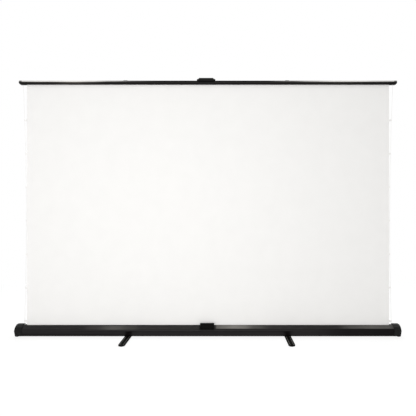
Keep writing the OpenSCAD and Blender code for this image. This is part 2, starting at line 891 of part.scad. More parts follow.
module lower_pivot_bracket() {
    base = floor_z - low_pivot_z;
    color(steel) at_lift(-1) translate([0, 0, low_pivot_z]) union() {
        fork_cheeks(layer_a_y) lower_fork_outline(base);
        along_y(fork_from(layer_a_y), fork_to(layer_a_y))
            translate([-fork_half, base]) square([2 * fork_half, bracket_floor_t]);
    }
}

module lower_pivot_pin() {
    color(steel) at_lift(-1) translate([0, 0, low_pivot_z]) fork_pin(layer_a_y);
}

// Slider in the case: a block under the rails, with a fork on top
module lower_slider() {
    low = floor_z + slide_gap - low_pivot_z;
    high = floor_z + rail_rise - slide_gap - low_pivot_z;
    color(black_plastic) at_lift(1) translate([0, 0, low_pivot_z]) union() {
        along_y(channel_y + slide_gap, channel_rear_y - slide_gap) polygon(rounded([
            [-slider_half, low, slider_r],
            [slider_half, low, slider_r],
            [slider_half, high, slider_r],
            [-slider_half, high, slider_r]]));
        fork_cheeks(layer_b_y) lower_fork_outline(high - past);
    }
}

module lower_slider_pin() {
    color(steel) at_lift(1) translate([0, 0, low_pivot_z]) fork_pin(layer_b_y);
}

// Upper fork: cheeks joined behind the reach of the arm's eye, under the bar's roof
module upper_fork(layer_y, side, top, wide_from, wide_to) {
    far = arm_eye_r + 1;
    fork_cheeks(layer_y) difference() {
        polygon([
            [-side * fork_front, fork_low],
            [side * fork_back, fork_low],
            [side * fork_back, top],
            [-side * fork_front, top]]);
        circle(r = hole_r);
    }
    along_y(wide_from, wide_to) polygon([
        [side * far, fork_low],
        [side * fork_back, fork_low],
        [side * fork_back, top],
        [side * far, top]]);
}

module upper_pivot_bracket() {
    color(steel) at_lift(-1) translate([0, 0, up_pivot_z])
        upper_fork(layer_b_y, -1, bar_roof_z - up_pivot_z, fork_from(layer_b_y), fork_to(layer_b_y));
}

module upper_pivot_pin() {
    color(steel) at_lift(-1) translate([0, 0, up_pivot_z]) fork_pin(layer_b_y);
}

module upper_slider() {
    color(black_plastic) at_lift(1) translate([0, 0, up_pivot_z])
        upper_fork(layer_a_y, 1, bar_roof_z - slide_gap - up_pivot_z,
            bar_chan_y + slide_gap, bar_chan_rear_y - slide_gap);
}

module upper_slider_pin() {
    color(steel) at_lift(1) translate([0, 0, up_pivot_z]) fork_pin(layer_a_y);
}

// Stop that the slider parks against when the screen is up
module slider_stop() {
    ramp_len = 6;
    color(black_plastic) at_lift(1) translate([-fork_front - slide_gap, 0, bar_roof_z])
        along_y(bar_chan_y, bar_chan_rear_y)
        polygon([[-stop_len, 0], [0, 0], [0, -stop_drop], [ramp_len - stop_len, -stop_drop]]);
}

// Lift arms: a flat bar from the pivot at the origin, with an eye at each end and one half way
module arm_shape(first_hole_r) {
    difference() {
        union() {
            translate([0, -arm_h / 2]) square([arm_len, arm_h]);
            circle(r = arm_eye_r);
            translate([arm_len, 0]) circle(r = arm_eye_r);
        }
        circle(r = first_hole_r);
        translate([arm_len / 2, 0]) circle(r = hole_r);
        translate([arm_len, 0]) circle(r = hole_r);
    }
}

module arm_grooves() {
    stand = pin_head_r + 10;
    for (x = [0, arm_len / 2]) translate([x + stand, -groove_w / 2])
        square([arm_len / 2 - 2 * stand, groove_w]);
}

module lift_arm(side, z, angle, layer_y, groove_y, first_hole_r) {
    color(black_metal) at_lift(side) difference() {
        along_y(layer_y, layer_y + arm_t) translate([0, z]) rotate(angle) arm_shape(first_hole_r);
        along_y(groove_y, groove_y + groove_d) translate([0, z]) rotate(angle) arm_grooves();
    }
}

module lower_arm_a() { lift_arm(-1, low_pivot_z, arm_angle, layer_a_y, layer_a_y, hole_r); }

module lower_arm_b() { lift_arm(1, low_pivot_z, 180 - arm_angle, layer_b_y, groove_b_y, hole_r); }

// The first eye of this arm turns on the left elbow pin with a little play
module upper_arm_a() {
    lift_arm(-1, mid_pivot_z, arm_angle, layer_a_y, layer_a_y, hole_r + elbow_play);
}

module upper_arm_b() { lift_arm(1, mid_pivot_z, 180 - arm_angle, layer_b_y, groove_b_y, hole_r); }

module lower_cross_pin() {
    color(steel) at_lift() translate([0, 0, (low_pivot_z + mid_pivot_z) / 2]) joint_pin();
}

module upper_cross_pin() {
    color(steel) at_lift() translate([0, 0, (mid_pivot_z + up_pivot_z) / 2]) joint_pin();
}

module elbow_pin_left() { color(steel) at_lift(-1) translate([0, 0, mid_pivot_z]) joint_pin(); }

module elbow_pin_right() { color(steel) at_lift(1) translate([0, 0, mid_pivot_z]) joint_pin(); }

// Latch: a press catch that turns on a pin between two ears on the case's front
module latch_base() {
    end_x = ear_x + ear_t;
    color(black_plastic) difference() {
        translate([latch_x, 0, 0]) union() {
            both_sides() along_x(ear_x, end_x) polygon(rounded(ear_corners));
            along_x(-end_x, end_x) polygon(latch_plate_corners);
        }
        along_x(latch_x - end_x - past, latch_x + end_x + past) polygon(rounded(case_corners));
        at_latch() rod_x(latch_pin_end - end_x, end_x - latch_pin_end, latch_pin_r + run_gap);
    }
}

module latch_catch() {
    spring_room = latch_spring_w / 2 + slide_gap;
    color(black_plastic) difference() {
        along_x(latch_x - catch_w / 2, latch_x + catch_w / 2) union() {
            translate(latch_pivot) circle(r = latch_boss_r);
            polygon(catch_corners);
        }
        at_latch() {
            rod_x(-catch_w, catch_w, latch_pin_r + run_gap);
            rod_x(-spring_room, spring_room, latch_boss_r + run_gap);
        }
    }
}

module latch_pin() {
    reach = ear_x + ear_t - latch_pin_end - 0.2;
    color(steel) at_latch() rod_x(-reach, reach, latch_pin_r);
}

module latch_spring() {
    half = latch_spring_w / 2;
    color(steel) at_latch() difference() {
        rod_x(-half, half, latch_pin_r + latch_spring_t);
        rod_x(-half - past, half + past, latch_pin_r + 0.2);
    }
}

// Feet
module foot_outline(inset) {
    r = foot_w / 2 - inset;
    translate([-r, -foot_reach]) square([2 * r, 2 * foot_reach]);
    for (y = [-foot_reach, foot_reach]) translate([0, y]) circle(r = r);
}

module foot(x) {
    color(black_plastic) translate([x, 0, 0]) difference() {
        translate([0, 0, pad_t]) linear_extrude(foot_top_z - pad_t) foot_outline(0);
        translate([0, 0, foot_top_z - ring_d]) linear_extrude(ring_d + past) difference() {
            foot_outline(ring_inset);
            foot_outline(ring_inset + ring_w);
            circle(r = ring_stop);
        }
        for (y = [-foot_reach, foot_reach]) translate([0, y, pad_t - past])
            cylinder(r = pad_r, h = pad_seat + past);
        cylinder(r = foot_bolt_r + run_gap, h = foot_top_z + past);
        cylinder(r = bolt_head_r + head_room, h = bolt_head_z + bolt_head_t + slide_gap);
    }
}

module foot_left() { foot(-foot_x); }

module foot_right() { foot(foot_x); }

module foot_pads(x) {
    color(rubber_black) for (y = [-1, 1])
        translate([x, y * foot_reach, 0]) cylinder(r = pad_r - run_gap, h = pad_t + pad_seat);
}

module foot_pads_left() { foot_pads(-foot_x); }

module foot_pads_right() { foot_pads(foot_x); }

module foot_bolts() {
    shank_z = bolt_head_z + bolt_head_t;
    color(steel) both_sides() translate([foot_x, 0, 0]) {
        translate([0, 0, shank_z]) cylinder(r = foot_bolt_r, h = floor_z + nut_plate_t - shank_z);
        translate([0, 0, bolt_head_z]) cylinder(r = bolt_head_r, h = bolt_head_t);
    }
}

module foot_washers() {
    color(steel) both_sides() translate([foot_x, 0, foot_top_z]) difference() {
        cylinder(r = washer_r, h = washer_t);
        translate([0, 0, -past]) cylinder(r = foot_bolt_r + run_gap, h = washer_t + 2 * past);
    }
}

module foot_nut_plates() {
    color(steel) both_sides() translate([foot_x, 0, floor_z]) difference() {
        translate([-nut_plate_half, nut_plate_y.x, 0])
            cube([2 * nut_plate_half, nut_plate_y.y - nut_plate_y.x, nut_plate_t]);
        translate([0, 0, -past]) cylinder(r = foot_bolt_r + run_gap, h = nut_plate_t + 2 * past);
    }
}

case_profile();
case_end_cap_left();
case_end_cap_right();
end_cap_screws();
roller_tube();
roller_plug_left();
roller_plug_right();
spring_arbor();
roller_spring();
cord_spools();
cloth_roll();
screen_cloth();
edge_strips();
edge_tabs_left();
edge_tabs_right();
tension_cord_left();
tension_cord_right();
top_bar();
bar_end_cap_left();
bar_end_cap_right();
cloth_spline();
cord_crimps();
handle();
handle_screws();
bracket_covers();
cover_screws();
upper_pivot_bracket();
upper_pivot_pin();
slider_stop();
upper_slider();
upper_slider_pin();
lower_arm_a();
lower_arm_b();
upper_arm_a();
upper_arm_b();
lower_cross_pin();
upper_cross_pin();
elbow_pin_left();
elbow_pin_right();
lower_pivot_bracket();
lower_pivot_pin();
lower_slider();
lower_slider_pin();
latch_base();
latch_catch();
latch_pin();
latch_spring();
foot_left();
foot_right();
foot_pads_left();
foot_pads_right();
foot_bolts();
foot_washers();
foot_nut_plates();
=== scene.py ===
import json
import math

import bpy
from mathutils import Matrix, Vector


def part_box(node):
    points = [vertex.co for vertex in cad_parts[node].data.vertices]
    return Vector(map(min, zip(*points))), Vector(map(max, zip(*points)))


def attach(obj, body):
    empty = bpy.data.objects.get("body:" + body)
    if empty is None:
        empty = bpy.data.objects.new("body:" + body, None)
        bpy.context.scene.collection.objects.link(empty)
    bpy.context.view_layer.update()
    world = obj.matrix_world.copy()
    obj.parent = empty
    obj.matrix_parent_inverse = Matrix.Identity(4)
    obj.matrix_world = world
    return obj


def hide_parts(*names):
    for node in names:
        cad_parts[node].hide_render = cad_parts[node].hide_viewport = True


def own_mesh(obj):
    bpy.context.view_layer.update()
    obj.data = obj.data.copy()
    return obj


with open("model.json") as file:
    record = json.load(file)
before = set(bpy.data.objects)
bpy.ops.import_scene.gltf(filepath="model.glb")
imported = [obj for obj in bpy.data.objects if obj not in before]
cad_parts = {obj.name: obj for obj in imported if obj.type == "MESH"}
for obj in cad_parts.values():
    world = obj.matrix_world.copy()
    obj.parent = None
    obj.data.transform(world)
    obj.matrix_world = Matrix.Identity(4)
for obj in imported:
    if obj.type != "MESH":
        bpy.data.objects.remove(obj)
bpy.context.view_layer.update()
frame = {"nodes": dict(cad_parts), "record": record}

MM = 0.001


def in_scene(name, data):
    """An object of its own in the scene, with this mesh, curve, lamp or camera."""
    made = bpy.data.objects.new(name, data)
    bpy.context.scene.collection.objects.link(made)
    return made


# Camera
# It stands 3.4 m in front of the screen at half its height, and a little to the right, because the feet
# lean outwards unevenly in the photograph. The shift brings the screen back to the picture's middle.
CAMERA_PLACE = (0.11, -3.396, 0.798)
CAMERA_LENS, SENSOR_WIDTH = 47.5, 36.0
CAMERA_SHIFT = -0.0427
CAMERA_RANGE = (0.05, 60.0)

camera_data = bpy.data.cameras.new("front_camera")
camera_data.lens = CAMERA_LENS
camera_data.sensor_width = SENSOR_WIDTH
camera_data.shift_x = CAMERA_SHIFT
camera_data.clip_start, camera_data.clip_end = CAMERA_RANGE
camera = in_scene("front_camera", camera_data)
camera.location = CAMERA_PLACE
camera.rotation_euler = (math.radians(90), 0.0, 0.0)
bpy.context.scene.camera = camera


# Colours and shader nodes
def linear(hex_colour):
    """An sRGB hex colour as the linear colour that a shader takes."""
    parts = [int(hex_colour[i:i + 2], 16) / 255 for i in (1, 3, 5)]
    return [c / 12.92 if c <= 0.04045 else ((c + 0.055) / 1.055) ** 2.4 for c in parts] + [1.0]


def add(tree, kind, settings=None, links=None):
    """One shader node, with its settings and the sockets that feed it."""
    made = tree.nodes.new(kind)
    for name, value in (settings or {}).items():
        if isinstance(name, str) and hasattr(made, name):
            setattr(made, name, value)
        else:
            made.inputs[name].default_value = value
    for name, source in (links or {}).items():
        tree.links.new(source, made.inputs[name])
    return made


def start_finish(name, **constants):
    """A material with its shader, its tree and the piece's own coordinates."""
    finish = bpy.data.materials.new(name)
    finish.use_nodes = True
    tree = finish.node_tree
    surface = tree.nodes["Principled BSDF"]
    for socket, value in constants.items():
        surface.inputs[socket.replace("_", " ")].default_value = value
    place = add(tree, "ShaderNodeTexCoord").outputs["Object"]
    return finish, tree, surface, place


def noise(tree, place, size, detail):
    """Soft noise with marks of this size, in the units of place."""
    return add(tree, "ShaderNodeTexNoise", {"Scale": 1 / size, "Detail": detail},
               {"Vector": place}).outputs["Fac"]


def spread(tree, source, low, high):
    """A 0 to 1 pattern stretched to run from low to high."""
    return add(tree, "ShaderNodeMapRange", {"To Min": low, "To Max": high},
               {"Value": source}).outputs["Result"]


def soft_step(tree, source, start, end):
    """0 at the start of a coordinate's range and 1 at its end, with a soft step between."""
    return add(tree, "ShaderNodeMapRange",
               {"interpolation_type": "SMOOTHSTEP", "From Min": start, "From Max": end},
               {"Value": source}).outputs["Result"]


def product(tree, *factors):
    """All the factors multiplied together."""
    result = factors[0]
    for factor in factors[1:]:
        result = add(tree, "ShaderNodeMath", {"operation": "MULTIPLY"}, {0: result, 1: factor}).outputs[0]
    return result


# Sockets of a colour mix: its factor, the two colours and the result
MIX_FACTOR, MIX_FIRST, MIX_SECOND, MIX_RESULT = 0, 6, 7, 2


def two_tones(tree, factor, first, second):
    """A colour that goes from one hex colour to another with the factor."""
    tones = {"data_type": "RGBA", MIX_FIRST: linear(first), MIX_SECOND: linear(second)}
    return add(tree, "ShaderNodeMix", tones, {MIX_FACTOR: factor}).outputs[MIX_RESULT]


def laid_over(tree, colour, tone, factor):
    """A colour with a hex colour laid over it, as strongly as the factor says."""
    over = {"data_type": "RGBA", MIX_SECOND: linear(tone)}
    return add(tree, "ShaderNodeMix", over, {MIX_FACTOR: factor, MIX_FIRST: colour}).outputs[MIX_RESULT]


def uneven_roughness(tree, surface, pattern, less, more):
    """Roughness that goes from less to more with the pattern."""
    tree.links.new(spread(tree, pattern, less, more), surface.inputs["Roughness"])


def relief(tree, surface, height, depth, strength=1.0):
    """Bump of a real depth in metres."""
    bump = add(tree, "ShaderNodeBump", {"Distance": depth, "Strength": strength}, {"Height": height})
    tree.links.new(bump.outputs["Normal"], surface.inputs["Normal"])


# Half of the length that the stops of a stretch are measured over
HALF_LENGTH = 1200 * MM


def along_length(tree, x, stops):
    """A strength that changes softly along X: stops of millimetres from the middle and a strength.

    The first two stops are the two ends, and the others follow in order.
    """
    share = add(tree, "ShaderNodeMapRange", {"From Min": -HALF_LENGTH, "From Max": HALF_LENGTH},
                {"Value": x})
    made = add(tree, "ShaderNodeValToRGB", {}, {"Fac": share.outputs["Result"]})
    ramp = made.color_ramp
    ramp.interpolation = "EASE"
    ends = iter(ramp.elements)
    for i, (millimetres, strength) in enumerate(stops):
        position = 0.5 + millimetres * MM / (2 * HALF_LENGTH)
        stop = next(ends) if i < 2 else ramp.elements.new(position)
        stop.position = position
        stop.color = (strength, strength, strength, 1.0)
    return made.outputs["Color"]


# Half the soft edge of a stretch in height, and how far its strength takes to come in behind its front
SOFT_EDGE = 1.5 * MM
SOFT_FRONT = 3.0 * MM


def front_mask(tree, place, low, high, stops, back=-5.0):
    """1 on the front between two heights, as strong along the length as the stops say, and 0 behind back.

    The heights and back are in millimetres.
    """
    across = add(tree, "ShaderNodeSeparateXYZ", {}, {0: place}).outputs
    low, high, back = low * MM, high * MM, back * MM
    return product(tree, soft_step(tree, across["Y"], back, back - SOFT_FRONT),
                   soft_step(tree, across["Z"], low - SOFT_EDGE, low + SOFT_EDGE),
                   soft_step(tree, across["Z"], high + SOFT_EDGE, high - SOFT_EDGE),
                   along_length(tree, across["X"], stops))


# Sizes and depths of the marks in the finishes
DIE_LINE, DIE_LINE_DEPTH = 1.1 * MM, 0.05 * MM
LINE_STRETCH = 5.0
ANODISING_PATCH = 350 * MM
SCUFF = 40 * MM
PLASTIC_GRAIN, PLASTIC_DEPTH = 0.9 * MM, 0.03 * MM
RUBBER_GRAIN, RUBBER_DEPTH = 1.4 * MM, 0.06 * MM
ROLLING_MARK, ROLLING_DEPTH = 1.5 * MM, 0.02 * MM
PLATING_CLOUD = 14 * MM
CLOTH_SLUB = 90 * MM
# What a dull stretch keeps of the shine
DULL_SHARE = 0.3
# Noise keeps to the middle of its range, so each finish stretches its pattern past 0 and 1
EXTRUSION_TONES, PLASTIC_TONES, CLOTH_TONES = (-0.3, 1.6), (-0.4, 1.3), (-0.2, 1.2)
# A wave texture of scale 1 repeats over this length
WAVE_LENGTH = math.tau / 20


def extrusion_finish(name, dark, light, roughness, metallic, shine=0.5, painted_light=(), dull=()):
    """Anodised aluminium extrusion: satin, with fine die lines along its length and soft patches.

    The stretches are painted highlights and painted shade laid on the front, and the dull ones weaken its
    shine.
    """
    finish, tree, surface, place = start_finish(name, Metallic=metallic, Specular_IOR_Level=shine)
    if dull:
        kept = product(tree, *[spread(tree, front_mask(tree, place, *stretch), 1.0, DULL_SHARE)
                               for stretch in dull])
        tree.links.new(spread(tree, kept, 0.0, shine), surface.inputs["Specular IOR Level"])
    lines = add(tree, "ShaderNodeMapping", {"Scale": (LINE_STRETCH, 1 / DIE_LINE, 1 / DIE_LINE)},
                {"Vector": place})
    die_lines = noise(tree, lines.outputs["Vector"], 1.0, 3.0)
    patches = noise(tree, place, ANODISING_PATCH, 2.0)
    pattern = spread(tree, product(tree, die_lines, patches), *EXTRUSION_TONES)
    colour = two_tones(tree, pattern, dark, light)
    # Painted highlights and painted shade, laid over the anodising's own tone
    for tone, *stretch in painted_light:
        colour = laid_over(tree, colour, tone, front_mask(tree, place, *stretch))
    tree.links.new(colour, surface.inputs["Base Color"])
    uneven_roughness(tree, surface, patches, roughness - 0.06, roughness + 0.1)
    relief(tree, surface, die_lines, DIE_LINE_DEPTH)
    return finish


def moulded_plastic(name, dark, light, roughness, shine=0.15, bands=(), grain=PLASTIC_GRAIN,
                    depth=PLASTIC_DEPTH):
    """Moulded plastic or rubber: a fine even grain, with soft scuffs in its tone and its roughness.

    Each band has a tone, its lowest and highest height in millimetres, and half its soft edge's width.
    """
    finish, tree, surface, place = start_finish(name, Metallic=0.0, IOR=1.5, Specular_IOR_Level=shine)
    pores = add(tree, "ShaderNodeTexVoronoi", {"Scale": 1 / grain}, {"Vector": place})
    scuffs = noise(tree, place, SCUFF, 4.0)
    colour = two_tones(tree, spread(tree, scuffs, *PLASTIC_TONES), dark, light)
    if bands:
        height = add(tree, "ShaderNodeSeparateXYZ", {}, {0: place}).outputs["Z"]
    for tone, low, high, edge in bands:
        inside = product(tree, soft_step(tree, height, (low - edge) * MM, (low + edge) * MM),
                         soft_step(tree, height, (high + edge) * MM, (high - edge) * MM))
        colour = laid_over(tree, colour, tone, inside)
    tree.links.new(colour, surface.inputs["Base Color"])
    uneven_roughness(tree, surface, scuffs, roughness - 0.07, roughness + 0.1)
    relief(tree, surface, pores.outputs["Distance"], depth)
    return finish


def plated_metal(name, dark, light, roughness):
    """Plated steel: bright, with fine rolling marks and small clouds in the plating."""
    finish, tree, surface, place = start_finish(name, Metallic=1.0)
    marks = noise(tree, place, ROLLING_MARK, 3.0)
    clouds = noise(tree, place, PLATING_CLOUD, 2.0)
    tree.links.new(two_tones(tree, clouds, dark, light), surface.inputs["Base Color"])
    uneven_roughness(tree, surface, marks, roughness - 0.08, roughness + 0.12)
    relief(tree, surface, marks, ROLLING_DEPTH)
    return finish


def woven_cloth(name, dark, light, thread, depth):
    """Woven cloth with a matt coat: crossed threads, drawn coarser than life so that they show."""
    finish, tree, surface, place = start_finish(
        name, Metallic=0.0, Roughness=0.92, IOR=1.45, Specular_IOR_Level=0.2, Sheen_Weight=0.08,
        Sheen_Roughness=0.6)
    warp, weft = [add(tree, "ShaderNodeTexWave",
                      {"bands_direction": way, "Scale": WAVE_LENGTH / thread, "Distortion": 0.4},
                      {"Vector": place}).outputs["Fac"] for way in ("X", "Z")]
    slubs = noise(tree, place, CLOTH_SLUB, 5.0)
    tree.links.new(two_tones(tree, spread(tree, slubs, *CLOTH_TONES), dark, light),
                   surface.inputs["Base Color"])
    relief(tree, surface, product(tree, warp, weft), depth, 0.6)
    return finish


# Painted highlights and painted shade on the front of the case. The light stretches stand in for
# reflections of lamps in the anodising, and the black lowest edge stands in for shade. Each has a tone, the
# two heights in millimetres that it lies between, how strong it is along the length, and how far forward it
# begins where that isn't the usual place
# The lowest edge of the case's front: painted shade in its tone, and duller in its shine
LOWEST_EDGE = (8.0, 15.0, [(-1200, 0.0), (1200, 0.6), (-800, 0.0), (-500, 0.7), (0, 1.0), (500, 0.7),
                           (700, 0.3)])
CASE_PAINTED_LIGHT_AND_SHADE = [
    ("#83817c", 52.0, 76.0, [(-1200, 0.0), (1200, 0.0), (-800, 0.0), (-690, 0.10), (-575, 0.34),
                             (-480, 0.16), (-400, 0.05), (0, 0.04), (60, 0.0)]),
    ("#83817c", 57.0, 76.0, [(-1200, 0.0), (1200, 0.0), (43, 0.0), (54, 0.5), (95, 0.66), (160, 0.9),
                             (215, 0.76), (285, 0.3), (400, 0.06), (560, 0.02), (780, 0.02),
                             (900, 0.28), (1010, 0.40), (1100, 0.36), (1180, 0.02)], 0.0),
    ("#020202", *LOWEST_EDGE)]
# Where the front is duller: its lower half towards the right end, two soft lines, and its lowest edge
CASE_DULL = [(0.0, 56.0, [(-1200, 0.0), (1200, 0.95), (620, 0.0), (880, 0.8)]),
             (38.0, 46.0, [(-1200, 0.0), (1200, 0.0), (-900, 0.1), (-750, 0.45), (450, 0.45), (620, 0.0)]),
             (19.0, 27.0, [(-1200, 0.7), (1200, 0.0), (-700, 0.7), (-450, 0.0)]),
             LOWEST_EDGE]
# The bar has a faint painted highlight on its front, and a bright painted highlight along its top edge
# towards both ends
BAR_PAINTED_HIGHLIGHTS = [
    ("#5d5a55", 1568.0, 1577.0, [(-1200, 0.10), (1200, 0.0), (-980, 0.25), (-820, 1.0), (-710, 0.35),
                                 (-630, 0.05), (500, 0.1), (840, 0.3), (1000, 0.1)]),
    ("#f6f4f0", 1577.2, 1590.0, [(-1200, 0.65), (1200, 0.5), (-1000, 0.85), (-820, 1.0), (-720, 0.8),
                                 (-600, 0.35), (-450, 0.07), (-300, 0.0), (350, 0.0), (520, 0.17),
                                 (640, 0.5), (780, 0.85), (920, 0.88), (1080, 0.62)])]

# The handle is blacker under its hood, as painted shade under its overhang, and the press catch at its lip.
# The bar's caps have a painted highlight along the rim. The feet are blacker below the top face, with a
# painted highlight in the ring groove.
# Painted shade under the handle's hood
HANDLE_PAINTED_SHADE = [("#070707", 1573.5, 1583.5, 1.0)]
LATCH_BANDS = [("#020202", 84.0, 100.0, 1.0)]
# A painted highlight along the rim of the bar's caps
CAP_RIM_HIGHLIGHT = [("#8f8d89", 1577.6, 1579.9, 0.3)]
# The feet are black below the top face, and a light line in the ring groove is a painted highlight
FOOT_BANDS = [("#020202", 0.0, 9.2, 0.2), ("#7d7b78", 8.15, 8.45, 0.05)]

# Finishes by the slot of the record that they belong to, and five for nodes with a finish of their own
FINISHES = {
    "black_aluminium": extrusion_finish("black_anodised_extrusion", "#0c090a", "#151213", 0.28, 0.0, 0.2,
                                        CASE_PAINTED_LIGHT_AND_SHADE, CASE_DULL),
    "bar_aluminium": extrusion_finish("black_anodised_bar", "#100f0f", "#1c1b1a", 0.5, 0.12, 0.06,
                                      BAR_PAINTED_HIGHLIGHTS),
    "black_arm": extrusion_finish("black_anodised_flat_bar", "#141313", "#201f1e", 0.46, 0.3, 0.2),
    "aluminium": extrusion_finish("mill_aluminium_tube", "#a3a5a7", "#c2c4c6", 0.38, 1.0),
    "black_plastic": moulded_plastic("moulded_black_abs", "#080808", "#121211", 0.55),
    "handle_plastic": moulded_plastic("moulded_black_abs_handle", "#1b1b1a", "#232322", 0.55, 0.04,
                                      HANDLE_PAINTED_SHADE),
    "latch_plastic": moulded_plastic("moulded_black_acetal", "#0b0b0b", "#111110", 0.5, 0.04, LATCH_BANDS),
    # The bar's caps, with a painted highlight along the rim
    "cap_plastic": moulded_plastic("moulded_black_abs_painted_rim_highlight", "#080808", "#121211", 0.55, 0.15,
                                   CAP_RIM_HIGHLIGHT),
    "foot_plastic": moulded_plastic("moulded_black_nylon", "#030303", "#080807", 0.6, 0.02, FOOT_BANDS),
    "rubber": moulded_plastic("moulded_black_rubber", "#0c0c0c", "#151514", 0.8, grain=RUBBER_GRAIN,
                              depth=RUBBER_DEPTH),
    "steel": plated_metal("zinc_plated_steel", "#8d8f93", "#b4b6b9", 0.34),
    "dark_steel": plated_metal("black_oxide_steel", "#1a1a1a", "#2b2b2b", 0.42),
    "white_cloth": woven_cloth("matt_white_screen_cloth", "#f4f3f1", "#f7f6f4", 1.2 * MM, 0.03 * MM),
    "white_tape": woven_cloth("white_edge_tape", "#f0efec", "#f7f6f4", 0.8 * MM, 0.05 * MM),
    "white_cord": woven_cloth("white_braided_cord", "#f4f3f0", "#fafaf7", 0.6 * MM, 0.05 * MM),
}

slot_of = {part["node"]: part["material_slot"] for part in frame["record"]["subparts"]}
body_of = {node: body for body, nodes in frame["record"]["behaviour"]["bodies"].items() for node in nodes}

OWN_FINISH = {"top_bar": "bar_aluminium", "handle": "handle_plastic", "latch_catch": "latch_plastic",
              "bar_end_cap_left": "cap_plastic", "bar_end_cap_right": "cap_plastic",
              "foot_left": "foot_plastic", "foot_right": "foot_plastic"}


def finish_of(node):
    """The finish of a node's slot, or its own where it has one."""
    return FINISHES[OWN_FINISH.get(node, slot_of[node])]


for node, carried in frame["nodes"].items():
    carried.data.materials.clear()
    carried.data.materials.append(finish_of(node))


# Making pieces
def deselect():
    bpy.ops.object.select_all(action="DESELECT")


def make_active(piece):
    deselect()
    piece.select_set(True)
    bpy.context.view_layer.objects.active = piece


def in_edit(piece, *steps):
    """Runs mesh operators on the piece, on what is selected in it."""
    make_active(piece)
    bpy.ops.object.mode_set(mode="EDIT")
    for step in steps:
        step()
    bpy.ops.object.mode_set(mode="OBJECT")


def select_all_parts():
    bpy.ops.mesh.select_all(action="SELECT")


def choose_faces(piece, test):
    """Selects the faces whose normal passes the test, and nothing else."""
    in_edit(piece, lambda: bpy.ops.mesh.select_mode(type="FACE"),
            lambda: bpy.ops.mesh.select_all(action="DESELECT"))
    for face in piece.data.polygons:
        face.select = test(face.normal)


def apply_modifiers(piece):
    make_active(piece)
    for modifier in list(piece.modifiers):
        bpy.ops.object.modifier_apply(modifier=modifier.name)


def place_in_mesh(piece):
    """Moves the piece's place, turn and scale into its mesh."""
    make_active(piece)
    bpy.ops.object.transform_apply(location=True, rotation=True, scale=True)


def smooth(piece, degrees=38):
    make_active(piece)
    bpy.ops.object.shade_smooth_by_angle(angle=math.radians(degrees))


def round_edges(piece, width, segments=2, degrees=32):
    """Small rounds on the sharp edges."""
    edges = piece.modifiers.new("edges", "BEVEL")
    edges.width = width
    edges.segments = segments
    edges.limit_method = "ANGLE"
    edges.angle_limit = math.radians(degrees)
    edges.use_clamp_overlap = True
    apply_modifiers(piece)


def keep_flats(piece):
    """Keeps the flat faces flat in the shading, beside the rounds."""
    flats = piece.modifiers.new("flats", "WEIGHTED_NORMAL")
    flats.keep_sharp = True
    apply_modifiers(piece)


def settle(piece, name, body, node):
    """Names the piece, gives it its finish and its body, and hides the node that it stands for."""
    piece.name = name
    piece.data.name = name
    piece.data.materials.clear()
    piece.data.materials.append(finish_of(node))
    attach(piece, body)
    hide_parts(node)


def from_points(name, points, faces):
    mesh = bpy.data.meshes.new(name)
    mesh.from_pydata(points, [], faces)
    mesh.update()
    return in_scene(name, mesh)


def face_outwards(piece):
    in_edit(piece, select_all_parts, lambda: bpy.ops.mesh.normals_make_consistent(inside=False))


def thicken(piece, thickness):
    """Gives a surface walls, half on each side of it."""
    wall = piece.modifiers.new("thickness", "SOLIDIFY")
    wall.thickness = thickness
    wall.offset = 0.0
    apply_modifiers(piece)


def joined(pieces):
    """All the pieces as one, in the first one's place."""
    deselect()
    for piece in pieces:
        piece.select_set(True)
    bpy.context.view_layer.objects.active = pieces[0]
    bpy.ops.object.join()
    return pieces[0]


def mirrored_copy(piece, name):
    """The same piece on the other side of the middle, with its faces turned the right way."""
    mesh = piece.data.copy()
    for vertex in mesh.vertices:
        vertex.co.x = -vertex.co.x
    mesh.flip_normals()
    return in_scene(name, mesh)


def straight_curve(name, count):
    """A curve of straight stretches between so many points, and its line."""
    path = bpy.data.curves.new(name, "CURVE")
    path.dimensions = "3D"
    path.twist_mode = "MINIMUM"
    path.use_fill_caps = True
    line = path.splines.new("POLY")
    line.points.add(count - 1)
    return path, line


def swept(name, path):
    """The mesh that a curve's section leaves along the curve."""
    piece = in_scene(name, path)
    make_active(piece)
    bpy.ops.object.convert(target="MESH")
    piece = bpy.context.active_object
    face_outwards(piece)
    smooth(piece, 60)
    return piece


# Carried shapes with finished edges
MERGE_WITHIN = 0.002 * MM
FLAT_WITHIN = math.radians(0.6)


def finished_copy(node, name, width):
    """A copy of a node with its loose triangles merged, its flats cleaned and its edges rounded."""
    piece = in_scene(name, frame["nodes"][node].data.copy())
    in_edit(piece, select_all_parts,
            lambda: bpy.ops.mesh.remove_doubles(threshold=MERGE_WITHIN),
            lambda: bpy.ops.mesh.dissolve_limited(angle_limit=FLAT_WITHIN))
    if width:
        round_edges(piece, width)
    smooth(piece)
    keep_flats(piece)
    settle(piece, name, body_of[node], node)


